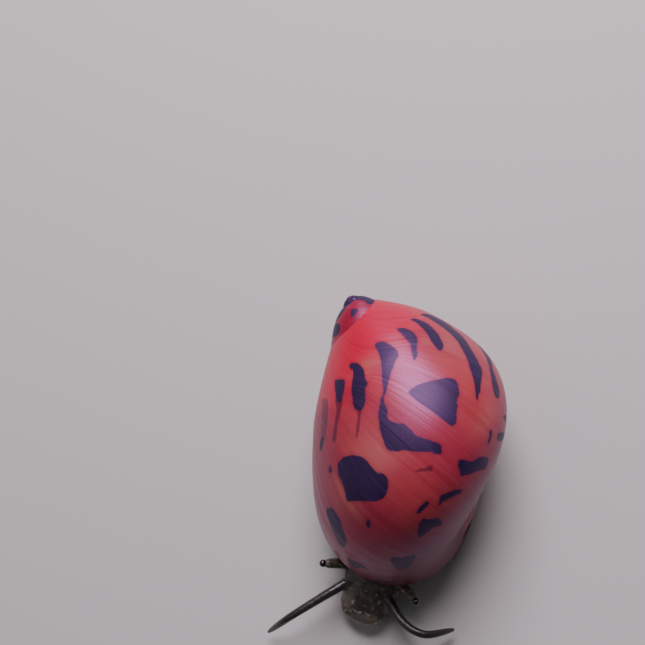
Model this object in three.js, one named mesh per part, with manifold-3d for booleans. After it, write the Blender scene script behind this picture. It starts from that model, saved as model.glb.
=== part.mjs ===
// A nerite snail, life size, crawling on its broad foot under a domed, spotted shell.
// Millimetres, +Z up. The head points towards -Y, and the shell's tip lies behind on the animal's right.
// The flat sole lies on the floor at z = 0 and the origin is a point on it.

import * as THREE from "three";
import { ConvexGeometry } from "three/addons/geometries/ConvexGeometry.js";
import { ParametricGeometry } from "three/addons/geometries/ParametricGeometry.js";
import { mergeVertices } from "three/addons/utils/BufferGeometryUtils.js";
import Module from "manifold-3d";

const gap = 0.3;

// The coil of the shell. Its axis runs down from the tip, and the mouth is its newest cross section.
const coil = {
  turns: 3,
  growth: 0.177,
  mouthOut: 4.14,
  mouthDown: 14.1,
  halfLength: 8.82,
  outerHalf: 6.27,
  innerHalf: 6.66,
  squareness: 2.07,
  tilt: 0.294,
  lean: 0.48,
  twist: 0.27,
  skew: 0.055,
  waist: 0.035,
  shoulder: -0.03,
  lipBow: 0.25,
  lipSlant: -0.12,
};

// How the older coils differ from the newest one, as shares of the sizes above.
const older = {
  reach: 2.2,
  length: 0.154,
  outer: 0.171,
  inner: 0.101,
  out: -0.022,
  down: -0.063,
  size: 0.08,
};

// The shoulder of the newest coil leaves its own tube at an angle round the cross section, and runs up the
// coil before it to a seat, the suture. Angles in degrees, lengths in millimetres.
const shoulder = {
  start: 118,
  lead: 0.25,
  rise: 0.2,
  sink: 0.15,
  firstSeat: 104,
  lastSeat: 126,
  seatTurn: 170,
  fadeFrom: 300,
  fadeTo: 400,
};

// The shell over the floor and the animal.
const headTurn = 1.17;
const mouthHeight = 2.8;
const mouthPlace = new THREE.Vector2(-1.2, -1.6);
const shellPitch = 0.05;
const shellWall = 1.1;
const spireTurns = [40, 140, 240];
const mouthDepth = 3.0;
const tipRadius = 0.55;

// The callus that closes the notch between the mouth's inner side and the older coil. It lies a little
// inside a skin stretched over both, and leans in with the square of the height over the mouth.
const callus = { inset: 0.2, lean: 0.15 };

// The pale shelf that closes the inner side of the shell's mouth, with fine teeth along its edge.
const deck = { edge: -2.6, thick: 1.1, teeth: 11, tooth: 0.42, spread: 9.5 };

// The foot, its tail end and the shelly lid that it carries.
const foot = { length: 19, width: 10.2, height: 1.2, middleY: -0.9, tailCut: 3.6 };
const lid = { length: 5.8, width: 3.0, thick: 0.5, y: 4.2 };

// The neck, head and snout, from the mouth of the shell forward.
const neck = { width: 7.0, length: 9.4, y: -2.6, front: -6.5 };
const head = { width: 4.9, length: 6.6, height: 1.95, y: -9.3, z: 1.95, front: -11.7 };
const snout = { width: 4.0, length: 3.6, height: 1.7, y: -12.0, z: 1.5 };
const mouthLine = { width: 1.8, height: 0.22, z: 1.0, lip: 0.34 };

// The two long feelers, and the eyes on short stalks beside their roots.
const feeler = { root: 0.42, end: 0.26, x: 1.65, y: -10.9, z: 2.3 };
const rightBend = { spread: 5.0, reach: 6.4, bow: 0, rise: 0.8, drop: 1.1 };
const leftBend = { spread: 5.5, reach: 0.6, bow: 1.3, rise: 0.75, drop: 0.9 };
const stalk = { radius: 0.42, length: 1.75, x: 2.0, y: -9.6, z: 2.15 };
const eyeRadius = 0.3;

const colours = {
  shell: { color: 0xc9503c, roughness: 0.28, metalness: 0 },
  spire: { color: 0xd8484a, roughness: 0.3, metalness: 0 },
  deck: { color: 0xe8ddc8, roughness: 0.4, metalness: 0 },
  lid: { color: 0x8a6f62, roughness: 0.45, metalness: 0 },
  flesh: { color: 0x5b5348, roughness: 0.5, metalness: 0 },
  mantle: { color: 0x77695a, roughness: 0.5, metalness: 0 },
  feeler: { color: 0x2f2c2a, roughness: 0.45, metalness: 0 },
  eye: { color: 0x0b0a0a, roughness: 0.12, metalness: 0 },
};

const wasm = await Module();
wasm.setup();

// A closed geometry as a solid that can be joined and cut.
function solid(geometry) {
  const bare = geometry.clone();
  bare.deleteAttribute("normal");
  bare.deleteAttribute("uv");
  const merged = mergeVertices(bare, 1e-4);
  return new wasm.Manifold(
    new wasm.Mesh({
      numProp: 3,
      vertProperties: new Float32Array(merged.attributes.position.array),
      triVerts: new Uint32Array(merged.index.array),
    }),
  );
}

// The largest closed body of a solid.
function largest(made) {
  return made.decompose().sort((a, b) => b.volume() - a.volume())[0];
}

function geometryOf(made) {
  const data = made.getMesh();
  const geometry = new THREE.BufferGeometry();
  const points = new Float32Array(data.numVert * 3);
  for (let i = 0; i < data.numVert; i += 1) {
    points.set(data.vertProperties.subarray(i * data.numProp, i * data.numProp + 3), i * 3);
  }
  geometry.setAttribute("position", new THREE.BufferAttribute(points, 3));
  geometry.setIndex(new THREE.BufferAttribute(new Uint32Array(data.triVerts), 1));
  geometry.computeVertexNormals();
  return geometry;
}

// Moves every vertex of a geometry with a function of its place.
function reshape(geometry, move) {
  const place = geometry.attributes.position;
  const point = new THREE.Vector3();
  for (let i = 0; i < place.count; i += 1) {
    point.fromBufferAttribute(place, i);
    move(point);
    place.setXYZ(i, point.x, point.y, point.z);
  }
  return geometry;
}

function box(width, length, height, x, y, z) {
  return new THREE.BoxGeometry(width, length, height).translate(x, y, z);
}

const signedPower = (value, power) => Math.sign(value) * Math.abs(value) ** power;

// The mouth's own directions in the coil's frame, whose +Z runs from the mouth to the tip.
const mouthFrame = (() => {
  const down = new THREE.Vector3(0, 0, -1);
  const out = new THREE.Vector3(1, 0, 0);
  const forward = new THREE.Vector3(0, -1, 0);
  const turned = (a, b, angle) => {
    const first = a.clone().multiplyScalar(Math.cos(angle)).addScaledVector(b, Math.sin(angle));
    const second = b.clone().multiplyScalar(Math.cos(angle)).addScaledVector(a, -Math.sin(angle));
    return [first, second];
  };
  const [tilted, across] = turned(down, out, coil.tilt);
  const [ahead, long] = turned(forward, tilted, coil.lean);
  const [face, wide] = turned(ahead, across, coil.twist);
  return { long, wide, face };
})();

// A point of the coil's tube: turn is 0 at the mouth and negative towards the tip, and around runs
// round the cross section, from its foot end over the outer side to the side of the tip.
function tubePoint(turn, around, target) {
  const age = 1 - Math.exp(turn / older.reach);
  const c = Math.cos(around);
  const s = Math.sin(around);
  const power = 2 / coil.squareness;
  const uneven = coil.waist * Math.cos(2 * around) + coil.shoulder * Math.cos(3 * around);
  const outline = 1 + coil.skew * c + uneven;
  const long = coil.halfLength * (1 + older.length * age) * signedPower(c, power);
  const outer = coil.outerHalf * (1 + older.outer * age) * outline;
  const inner = coil.innerHalf * (1 + older.inner * age);
  const wide = signedPower(s, power) * (s > 0 ? outer : inner);
  const face = coil.lipBow * (c * c - 0.5) + coil.lipSlant * c;
  target.set(coil.mouthOut * (1 + older.out * age), 0, -coil.mouthDown * (1 + older.down * age));
  target.addScaledVector(mouthFrame.long, long);
  target.addScaledVector(mouthFrame.wide, wide);
  target.addScaledVector(mouthFrame.face, face);
  target.multiplyScalar(Math.exp(coil.growth * turn + older.size * age));
  return target.applyAxisAngle(new THREE.Vector3(0, 0, 1), -turn);
}

// The way in which the tube's surface runs at a point, along its cross section.
function tubeRun(turn, around) {
  const step = 0.02;
  const ahead = tubePoint(turn, around + step, new THREE.Vector3());
  return ahead.sub(tubePoint(turn, around - step, new THREE.Vector3())).normalize();
}

// The seat of the newest coil on the one before it, and the way out of that older coil there.
function seatOf(turn) {
  const share = THREE.MathUtils.clamp(-turn / THREE.MathUtils.degToRad(shoulder.seatTurn), 0, 1);
  const degrees = THREE.MathUtils.lerp(shoulder.firstSeat, shoulder.lastSeat, share);
  const angle = THREE.MathUtils.degToRad(degrees);
  const older = turn - 2 * Math.PI;
  const run = tubeRun(older, angle);
  const out = new THREE.Vector3(Math.cos(-turn), Math.sin(-turn), 0).projectOnPlane(run).normalize();
  return { place: tubePoint(older, angle, new THREE.Vector3()), out };
}

// A point of the coil's surface, its shoulder drawn up to the seat.
function coilPoint(turn, around, target) {
  tubePoint(turn, around, target);
  const start = THREE.MathUtils.degToRad(shoulder.start);
  const newest = THREE.MathUtils.smoothstep(
    turn,
    -THREE.MathUtils.degToRad(shoulder.fadeTo),
    -THREE.MathUtils.degToRad(shoulder.fadeFrom),
  );
  const share = newest * (1 - THREE.MathUtils.smoothstep(around, Math.PI * 1.02, Math.PI * 1.5));
  if (around <= start || share === 0) return target;
  const leave = tubePoint(turn, start, new THREE.Vector3());
  const seat = seatOf(turn);
  const lead = leave.distanceTo(seat.place) * shoulder.lead;
  const end = seat.place.addScaledVector(seat.out, -shoulder.sink);
  const curve = new THREE.CubicBezierCurve3(
    leave,
    leave.clone().addScaledVector(tubeRun(turn, start), lead),
    end.clone().addScaledVector(seat.out, shoulder.rise),
    end,
  );
  const along = THREE.MathUtils.clamp((around - start) / (Math.PI - start), 0, 1);
  return target.lerp(curve.getPoint(along), share);
}

// From the coil's frame to the shell's: the mouth faces straight down, the head's way is -Y.
const coilToShell = (() => {
  const ahead = mouthFrame.wide.clone().multiplyScalar(Math.cos(headTurn));
  ahead.addScaledVector(mouthFrame.long, Math.sin(headTurn));
  const right = ahead.clone().cross(mouthFrame.face);
  const rows = [right, ahead.clone().negate(), mouthFrame.face.clone().negate()];
  const turn = new THREE.Matrix4().set(
    ...rows[0].toArray(), 0,
    ...rows[1].toArray(), 0,
    ...rows[2].toArray(), 0,
    0, 0, 0, 1,
  );
  const back = new THREE.Matrix4().makeTranslation(-coil.mouthOut, 0, coil.mouthDown);
  return turn.multiply(back);
})();

const coilSurface = new THREE.Mesh(
  new ParametricGeometry(
    (u, v, target) => coilPoint(0.35 - u * (coil.turns * 2 * Math.PI + 0.35), v * 2 * Math.PI, target),
    150,
    56,
  ).applyMatrix4(coilToShell),
  new THREE.MeshBasicMaterial({ side: THREE.DoubleSide }),
);
coilSurface.updateMatrixWorld(true);

// The whole shell's outer bound: the skin stretched over the coil, drawn down past the mouth.
const below = 1.5;
const boundPoints = [];
for (let i = 0; i <= 40; i += 1) {
  for (let j = 0; j < 40; j += 1) {
    const point = coilPoint((-i / 40) * 2.2 * Math.PI, (j / 40) * 2 * Math.PI, new THREE.Vector3());
    point.applyMatrix4(coilToShell);
    boundPoints.push(point);
    if (i === 0) boundPoints.push(point.clone().setZ(-below));
  }
}
const bound = new THREE.Mesh(new ConvexGeometry(boundPoints), coilSurface.material);
bound.updateMatrixWorld(true);

// How far a surface reaches from a point in a direction, at its outermost.
function reach(surface, from, direction) {
  const hits = new THREE.Raycaster(from, direction, 0, 60).intersectObject(surface, false);
  return hits.length ? hits[hits.length - 1].distance : 0;
}

// The whole shell as one dome: a ball whose every point is moved out to the coil's outermost surface.
// Low down, where the mouth's inner side leaves the older coil, the callus closes the notch.
const tip = new THREE.Vector3(0, 0, 0).applyMatrix4(coilToShell);
const heart = new THREE.Vector3(-0.6, 1.2, 3.4);
const towardsTip = tip.clone().sub(heart).normalize();
const tipSink = 0.4;
const tipBall = new THREE.Mesh(new THREE.SphereGeometry(tipRadius, 24, 16), coilSurface.material);
tipBall.position.copy(tip).addScaledVector(towardsTip, -tipSink);
tipBall.updateMatrixWorld(true);
const lowWay = 0.12;
const dome = reshape(new THREE.SphereGeometry(1, 56, 38), (point) => {
  const polar = Math.acos(THREE.MathUtils.clamp(point.y, -1, 1));
  const spun = Math.atan2(point.z, point.x);
  const closer = Math.PI * (polar / Math.PI) ** 1.2;
  point.set(Math.sin(closer) * Math.cos(spun), Math.cos(closer), Math.sin(closer) * Math.sin(spun));
  point.applyQuaternion(new THREE.Quaternion().setFromUnitVectors(new THREE.Vector3(0, 1, 0), towardsTip));
  const outer = reach(bound, heart, point);
  const height = Math.max(heart.z + outer * point.z, 0);
  const filled = outer - callus.inset - callus.lean * height ** 2;
  const coiled = Math.max(reach(coilSurface, heart, point), reach(tipBall, heart, point));
  const limit = point.z > lowWay ? Infinity : outer;
  point.multiplyScalar(Math.max(Math.min(coiled, limit), filled)).add(heart);
});
const domeMesh = new THREE.Mesh(dome, coilSurface.material);
domeMesh.updateMatrixWorld(true);

// A plug with the dome's own outline, drawn in by a wall, between two heights over the mouth's plane.
const mouthMiddle = new THREE.Vector3(-0.9, 1.3, 0);
function plug(wall, low, high) {
  return reshape(new THREE.CylinderGeometry(1, 1, 1, 60, 3), (point) => {
    const share = Math.hypot(point.x, point.z);
    const height = low + (point.y + 0.5) * (high - low);
    const level = new THREE.Vector3(mouthMiddle.x, mouthMiddle.y, Math.max(height, 0.05));
    if (share < 0.5) {
      point.set(level.x, level.y, height);
      return;
    }
    const way = new THREE.Vector3(point.x, -point.z, 0).normalize();
    const out = reach(domeMesh, level, way) - wall;
    point.set(level.x + way.x * out, level.y + way.y * out, height);
  });
}

// A large block on one side of a line in the mouth's plane, square to the shell's width.
const acrossMouth = (() => {
  const across = mouthFrame.wide.clone().transformDirection(coilToShell);
  return Math.atan2(across.y, across.x);
})();
function besideLine(place, side) {
  const block = box(60, 60, 60, place + side * 30, 0, 0);
  return solid(block.rotateZ(acrossMouth));
}

const aboveMouth = solid(box(80, 80, 40, 0, 0, 20));
let shell = largest(solid(dome).intersect(aboveMouth));

// The mouth: a deep hollow for the body and a shallow one for the shelf.
const deepMouth = solid(plug(shellWall, -1, mouthDepth)).intersect(besideLine(deck.edge - gap, 1));
const shallowMouth = solid(plug(shellWall, -1, deck.thick + gap));
shell = largest(shell.subtract(deepMouth.add(shallowMouth)));

// The spire is parted from the body whorl by a thin flat cut through three points of the suture.
const seats = spireTurns.map((degrees) =>
  seatOf(-THREE.MathUtils.degToRad(degrees)).place.applyMatrix4(coilToShell),
);
const cutPlane = new THREE.Plane().setFromCoplanarPoints(...seats);
if (cutPlane.distanceToPoint(tip) < 0) cutPlane.negate();
const upright = new THREE.Quaternion().setFromUnitVectors(new THREE.Vector3(0, 0, 1), cutPlane.normal);
function towardsTipFrom(level) {
  const block = box(60, 60, 60, 0, 0, level + 30);
  return solid(block.applyQuaternion(upright).translate(...seats[0].toArray()));
}
const spire = largest(shell.intersect(towardsTipFrom(gap / 2)));
const bodyWhorl = largest(shell.subtract(towardsTipFrom(-gap / 2)));

// The shelf, with a row of teeth fused along its free edge.
let shelf = solid(plug(shellWall + gap, 0.15, deck.thick)).intersect(besideLine(deck.edge, -1));
for (let i = 0; i < deck.teeth; i += 1) {
  const along = (i / (deck.teeth - 1) - 0.5) * deck.spread;
  const size = deck.tooth * (1 - 0.25 * Math.abs(along / deck.spread));
  const tooth = new THREE.SphereGeometry(size, 8, 6).scale(0.9, 0.75, 1);
  tooth.translate(deck.edge - size * 0.45, along, deck.thick * 0.5).rotateZ(acrossMouth);
  shelf = shelf.add(solid(tooth));
}
shelf = largest(shelf);

// The mantle fills the mouth beside the shelf.
const mantleBody = solid(plug(shellWall + gap, 0.1, mouthDepth - gap));
const mantle = largest(mantleBody.intersect(besideLine(deck.edge + gap + 0.15, 1)));

// The shell group stands over the foot, its front edge lifted a little.
const shellGroup = new THREE.Group();
shellGroup.position.set(mouthPlace.x, mouthPlace.y, mouthHeight);
shellGroup.rotation.x = -shellPitch;
shellGroup.updateMatrixWorld(true);

// The room under the shell's mouth, less the gap: flesh below the shell is cut to it.
function underShell(clear) {
  const room = box(80, 80, 40, 0, 0, -20 - clear).applyMatrix4(shellGroup.matrixWorld);
  return solid(room);
}

// The foot: a broad oval pad with a soft rim and a flat sole, a little wider in front.
function pad(width, length, height, y) {
  return reshape(new THREE.SphereGeometry(1, 44, 18), (point) => {
    const broad = (width / 2) * (1 - 0.08 * point.z);
    const tall = signedPower(point.y, 0.55) * height;
    point.set(point.x * broad, -point.z * (length / 2) + y, tall);
  });
}

// An ellipsoid, rounder or squarer along each axis.
function lump(width, length, height, x, y, z, power = 1, around = 24, up = 14) {
  return reshape(new THREE.SphereGeometry(1, around, up), (point) => {
    point.set(
      x + (signedPower(point.x, power) * width) / 2,
      y + (-signedPower(point.z, power) * length) / 2,
      z + (signedPower(point.y, power) * height) / 2,
    );
  });
}

// A small smooth lump for the parts of the mouth.
const morsel = (width, length, height, y, z) => solid(lump(width, length, height, 0, y, z, 1, 14, 8));

// A tapered tube along a part of a curve, from one share of its length to another.
function taper(curve, from, to, radiusAt, sides, steps) {
  const frames = curve.computeFrenetFrames(64, false);
  return reshape(new THREE.CylinderGeometry(1, 1, 1, sides, steps), (point) => {
    const share = from + (to - from) * THREE.MathUtils.clamp(point.y + 0.5, 0, 1);
    const step = Math.round(share * 64);
    const radius = radiusAt(share);
    const middle = curve.getPointAt(share);
    middle.addScaledVector(frames.normals[step], point.x * radius);
    middle.addScaledVector(frames.binormals[step], -point.z * radius);
    point.copy(middle);
  });
}

const half = (y, side) => solid(box(80, 80, 80, 0, y + side * 40, 0));
const aboveFloor = solid(box(80, 80, 40, 0, 0, 20));
const sole = solid(pad(foot.width, foot.length, foot.height, foot.middleY));
const wholeFoot = sole.intersect(aboveFloor).intersect(underShell(gap));
const tailEnd = largest(wholeFoot.intersect(half(foot.tailCut + gap, 1)));
const footBody = largest(wholeFoot.intersect(half(foot.tailCut, -1)));
const roomForFoot = solid(pad(foot.width + 2 * gap, foot.length + 2 * gap, foot.height + gap, foot.middleY));

// The lid lies on the tail end: a half-moon plate, its straight side forward.
const lidShape = new THREE.Shape();
lidShape.moveTo(-lid.length / 2, 0);
lidShape.quadraticCurveTo(0, -lid.width * 0.16, lid.length / 2, 0);
lidShape.bezierCurveTo(lid.length / 2, lid.width * 0.9, lid.length * 0.25, lid.width, 0, lid.width);
lidShape.bezierCurveTo(-lid.length * 0.3, lid.width, -lid.length / 2, lid.width * 0.75, -lid.length / 2, 0);
const lidPlate = new THREE.ExtrudeGeometry(lidShape, {
  depth: lid.thick * 0.5,
  bevelThickness: lid.thick * 0.25,
  bevelSize: 0.2,
  bevelSegments: 1,
  curveSegments: 12,
});
lidPlate.translate(0, lid.y, foot.height + gap + lid.thick * 0.25);

// The neck rises from the foot into the mouth, cut level with it.
const neckSolid = solid(lump(neck.width, neck.length, 8, 0, neck.y, foot.height + gap + 2, 0.75));
const neckRoom = underShell(gap).subtract(roomForFoot);
const neckBody = largest(neckSolid.intersect(neckRoom).intersect(half(neck.front, 1)));

// The head comes out under the shell's front edge, over the foot, with a broad short snout before it.
const headLump = (grow) =>
  solid(lump(head.width + grow, head.length + grow, head.height + grow, 0, head.y, head.z, 0.85, 24, 14));
const headBody = largest(
  headLump(0)
    .subtract(roomForFoot)
    .intersect(half(neck.front - gap, -1))
    .intersect(half(head.front, 1)),
);

// The snout: a blunt muzzle with a short crosswise mouth between two soft lips, low on its front.
const snoutLump = (grow) =>
  solid(lump(snout.width + grow, snout.length + grow, snout.height + grow, 0, snout.y, snout.z, 0.8, 24, 14));
const snoutTip = snout.y - snout.length / 2;
const lipRise = mouthLine.lip;
const lipLength = 0.9;
const upperLipZ = mouthLine.z + lipRise;
const lowerLipZ = mouthLine.z - lipRise;
const upperLip = morsel(mouthLine.width + 0.5, lipLength, lipRise * 2, snoutTip + 0.35, upperLipZ);
const lowerLip = morsel(mouthLine.width + 0.2, lipLength, lipRise * 2, snoutTip + 0.45, lowerLipZ);
const mouthSlit = morsel(mouthLine.width, 1.3, mouthLine.height, snoutTip + 0.2, mouthLine.z);
const snoutBody = largest(
  snoutLump(0)
    .add(upperLip)
    .add(lowerLip)
    .subtract(mouthSlit)
    .subtract(roomForFoot)
    .intersect(half(head.front - gap, -1)),
);

// Feelers sweep forward and out, then droop at their thin ends.
const headRoom = headLump(2 * gap).add(snoutLump(2 * gap));
const splitShare = 0.5;
function feelerCurve(side) {
  const bend = side < 0 ? rightBend : leftBend;
  const at = (share, up) =>
    new THREE.Vector3(
      side * (feeler.x + bend.spread * share),
      feeler.y - bend.reach * share - bend.bow * Math.sin(Math.PI * share),
      feeler.z + up,
    );
  return new THREE.CatmullRomCurve3([
    new THREE.Vector3(side * feeler.x * 0.7, feeler.y + 0.8, feeler.z - 0.2),
    at(0, 0),
    at(0.3, bend.rise * 0.8),
    at(0.67, bend.rise),
    at(1, -bend.drop),
  ]);
}
const blunting = 0.12;
const feelerRadius = (share) =>
  feeler.end + (feeler.root - feeler.end) * (1 - share) ** 1.2 - blunting * share ** 12;
function feelerParts(side) {
  const curve = feelerCurve(side);
  const split = gap / curve.getLength();
  const root = solid(taper(curve, 0, splitShare, feelerRadius, 12, 14)).subtract(headRoom);
  const end = solid(taper(curve, splitShare + split, 1, feelerRadius, 12, 14));
  return { root: largest(root), end: largest(end) };
}

// An eye on its short stalk, out and up from the side of the head.
function eyeParts(side) {
  const from = new THREE.Vector3(side * stalk.x, stalk.y, stalk.z);
  const way = new THREE.Vector3(side * 0.82, -0.3, 0.48).normalize();
  const end = from.clone().addScaledVector(way, stalk.length);
  const curve = new THREE.LineCurve3(from, end);
  const stem = solid(taper(curve, 0, 1, (share) => stalk.radius * (1.1 - 0.22 * share), 14, 3));
  const eye = new THREE.SphereGeometry(eyeRadius, 18, 12);
  eye.translate(...end.clone().addScaledVector(way, gap + eyeRadius).toArray());
  return { stem: largest(stem.subtract(headRoom)), eye };
}

const group = new THREE.Group();
function add(parent, name, made, finish) {
  const geometry = made.isBufferGeometry ? made : geometryOf(made);
  const mesh = new THREE.Mesh(geometry, new THREE.MeshStandardMaterial(colours[finish]));
  mesh.name = name;
  parent.add(mesh);
}
add(shellGroup, "shell_body_whorl", bodyWhorl, "shell");
add(shellGroup, "shell_spire", spire, "spire");
add(shellGroup, "shell_deck", shelf, "deck");
add(shellGroup, "mantle", mantle, "mantle");
group.add(shellGroup);
add(group, "foot", footBody, "flesh");
add(group, "foot_tail", tailEnd, "flesh");
add(group, "operculum", lidPlate, "lid");
add(group, "neck", neckBody, "flesh");
add(group, "head", headBody, "flesh");
add(group, "snout", snoutBody, "flesh");
for (const [side, word] of [[-1, "right"], [1, "left"]]) {
  const feelerMade = feelerParts(side);
  const eyeMade = eyeParts(side);
  add(group, "tentacle_" + word, feelerMade.root, "feeler");
  add(group, "tentacle_tip_" + word, feelerMade.end, "feeler");
  add(group, "eyestalk_" + word, eyeMade.stem, "flesh");
  add(group, "eye_" + word, eyeMade.eye, "eye");
}

export default group;
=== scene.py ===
import math

import bmesh
import bpy
import numpy as np
from mathutils import Matrix, Vector
from mathutils.bvhtree import BVHTree
from mathutils.geometry import convex_hull_2d


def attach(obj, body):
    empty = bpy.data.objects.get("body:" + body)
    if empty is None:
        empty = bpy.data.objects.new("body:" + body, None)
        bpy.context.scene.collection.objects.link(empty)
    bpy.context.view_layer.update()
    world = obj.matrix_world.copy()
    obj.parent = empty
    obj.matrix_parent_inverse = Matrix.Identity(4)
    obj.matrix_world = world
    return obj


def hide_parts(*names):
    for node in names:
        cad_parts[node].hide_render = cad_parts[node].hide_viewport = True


# A nerite snail, life size. The CAD solids give the places; this script gives the surfaces.
# Lengths below are in millimetres until a mesh is made, then in metres.

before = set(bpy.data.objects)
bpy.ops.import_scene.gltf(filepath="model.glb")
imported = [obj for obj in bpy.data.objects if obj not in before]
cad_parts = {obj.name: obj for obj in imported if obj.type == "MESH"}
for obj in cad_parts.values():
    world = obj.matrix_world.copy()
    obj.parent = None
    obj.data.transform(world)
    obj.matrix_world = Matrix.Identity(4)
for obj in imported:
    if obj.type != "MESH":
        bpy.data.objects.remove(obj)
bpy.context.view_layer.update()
MM = 0.001
rng = np.random.default_rng(7)

# ---- the coil, as in the solids ----

# A tube on an evenly growing right-handed spiral, fitted to the photo's outline, suture and growth lines.
# growth is for each radian; out, down, long, outer and inner are the tube's place and half sizes in mm at the
# mouth; tilt, lean and twist turn the mouth, in radians; the rest are shares that shape the outline.
COIL = dict(
    turns=3, growth=0.177, out=4.14, down=14.1, long=8.82, outer=6.27, inner=6.66,
    square=2.07, tilt=0.294, lean=0.48, twist=0.27, skew=0.055, waist=0.035, shoulder=-0.03,
    bow=0.25, slant=-0.12,
)
# How much the tube of older coils differs, reached over some radians of turn.
OLDER = dict(reach=2.2, long=0.154, outer=0.171, inner=0.101, out=-0.022, down=-0.063, size=0.08)
# The shoulder: from start degrees around, a coil is drawn up over the one before it, to the suture. It meets
# that coil first to last degrees around it, and fades out between two turns near the tip. lead and fuller are
# shares of the way, rise and sink are mm. Coils older than the newest one bulge more.
SHOULDER = dict(
    start=118, lead=0.25, rise=0.2, sink=0.15, first=104, last=126, seat_turn=170,
    fade_from=760, fade_to=860, fuller=0.4, fuller_from=360, fuller_to=420,
)
# How the shell sits on the animal: radians from the lip's middle to the head, mm, mm and radians.
HEAD_TURN = 1.17
MOUTH_HEIGHT = 2.8
MOUTH_PLACE = (-1.2, -1.6)
SHELL_PITCH = 0.05


def signed_power(value, power):
    return np.sign(value) * np.abs(value) ** power


def mouth_frame():
    """The mouth's long way, its wide way and the way that it faces."""
    down, out, ahead = np.array([0, 0, -1.0]), np.array([1.0, 0, 0]), np.array([0, -1.0, 0])
    ct, st = math.cos(COIL["tilt"]), math.sin(COIL["tilt"])
    cl, sl = math.cos(COIL["lean"]), math.sin(COIL["lean"])
    cw, sw = math.cos(COIL["twist"]), math.sin(COIL["twist"])
    long, wide = ct * down + st * out, -st * down + ct * out
    face = cl * ahead + sl * long
    long = cl * long - sl * ahead
    return long, cw * wide - sw * face, cw * face + sw * wide


LONG, WIDE, FACE = mouth_frame()


def spun(p, turn):
    """Points turned around the coil's axis."""
    ct, st = np.cos(-turn), np.sin(-turn)
    return np.stack([ct * p[..., 0] - st * p[..., 1], st * p[..., 0] + ct * p[..., 1], p[..., 2]], -1)


def unit(v):
    return v / np.linalg.norm(v, axis=-1, keepdims=True)


def smooth_step(value, low, high):
    u = np.clip((value - low) / (high - low), 0, 1)
    return u * u * (3 - 2 * u)


def tube_points(turn, around, shrink=0.0):
    """Points of the coil's tube in its own frame, for turn (0 at the mouth) and around, in radians."""
    age = 1 - np.exp(turn / OLDER["reach"])
    c, s = np.cos(around), np.sin(around)
    power = 2 / COIL["square"]
    outline = 1 + COIL["skew"] * c + COIL["waist"] * np.cos(2 * around) + COIL["shoulder"] * np.cos(3 * around)
    long = (COIL["long"] * (1 + OLDER["long"] * age) - shrink) * signed_power(c, power)
    outer = COIL["outer"] * (1 + OLDER["outer"] * age) * outline - shrink
    inner = COIL["inner"] * (1 + OLDER["inner"] * age) - shrink
    wide = signed_power(s, power) * np.where(s > 0, outer, inner)
    face = COIL["bow"] * (c * c - 0.5) + COIL["slant"] * c
    middle = np.stack([
        COIL["out"] * (1 + OLDER["out"] * age), 0 * age, -COIL["down"] * (1 + OLDER["down"] * age),
    ], -1)
    p = middle + long[..., None] * LONG + wide[..., None] * WIDE + face[..., None] * FACE
    return spun(p * np.exp(COIL["growth"] * turn + OLDER["size"] * age)[..., None], turn)


def tube_run(turn, around, shrink=0.0, step=0.02):
    """The way along the tube's outline."""
    return unit(tube_points(turn, around + step, shrink) - tube_points(turn, around - step, shrink))


def seat_of(turn):
    """The seat of the newest coil on the one before it, and the way out of that coil there."""
    share = np.clip(-turn / np.radians(SHOULDER["seat_turn"]), 0, 1)
    angle = np.radians(SHOULDER["first"] + (SHOULDER["last"] - SHOULDER["first"]) * share)
    run = tube_run(turn - 2 * np.pi, angle)
    out = spun(np.stack([np.ones_like(turn), 0 * turn, 0 * turn], -1), turn)
    return tube_points(turn - 2 * np.pi, angle), unit(out - (out * run).sum(-1, keepdims=True) * run)


def coil_points(turn, around, shrink=0.0):
    """Points of the coil's surface: the tube, its shoulder drawn up over the coil before it to the suture."""
    turn, around, shrink = np.broadcast_arrays(
        np.asarray(turn, float), np.asarray(around, float), np.asarray(shrink, float))
    tube = tube_points(turn, around, shrink)
    s = SHOULDER
    start = 0 * around + math.radians(s["start"])
    share = smooth_step(turn, -math.radians(s["fade_to"]), -math.radians(s["fade_from"]))
    share = share * (1 - smooth_step(around, np.pi * 1.02, np.pi * 1.5)) * (around > start)
    leave, (seat, out) = tube_points(turn, start, shrink), seat_of(turn)
    fuller = s["lead"] + s["fuller"] * smooth_step(
        -turn, math.radians(s["fuller_from"]), math.radians(s["fuller_to"]))
    lead = np.linalg.norm(seat - leave, axis=-1, keepdims=True) * fuller[..., None]
    end = seat - out * (s["sink"] + shrink[..., None])
    u = np.clip((around - start) / (np.pi - start), 0, 1)[..., None]
    first, second = leave + tube_run(turn, start, shrink) * lead, end + out * s["rise"]
    drawn = (1 - u) ** 3 * leave + 3 * (1 - u) ** 2 * u * first + 3 * (1 - u) * u * u * second + u ** 3 * end
    return tube + share[..., None] * (drawn - tube)


def coil_to_shell():
    """Turns the coil's frame so that the mouth lies flat and the head is towards -Y."""
    ahead = math.cos(HEAD_TURN) * WIDE + math.sin(HEAD_TURN) * LONG
    return np.stack([np.cross(ahead, FACE), -ahead, -FACE])


TO_SHELL = coil_to_shell()
MOUTH_MIDDLE = np.array([COIL["out"], 0, -COIL["down"]])


def shell_points(turn, around, shrink=0.0):
    """The same points in the shell's frame, whose z is the height over the plane of the mouth."""
    return (coil_points(turn, around, shrink) - MOUTH_MIDDLE) @ TO_SHELL.T


def place_shell(p):
    """Points in the shell's frame, set on the animal."""
    c, s = math.cos(-SHELL_PITCH), math.sin(-SHELL_PITCH)
    x, y, z = p[..., 0], p[..., 1], p[..., 2]
    return np.stack([x + MOUTH_PLACE[0], c * y - s * z + MOUTH_PLACE[1], s * y + c * z + MOUTH_HEIGHT], -1)


# ---- mesh helpers ----


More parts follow.
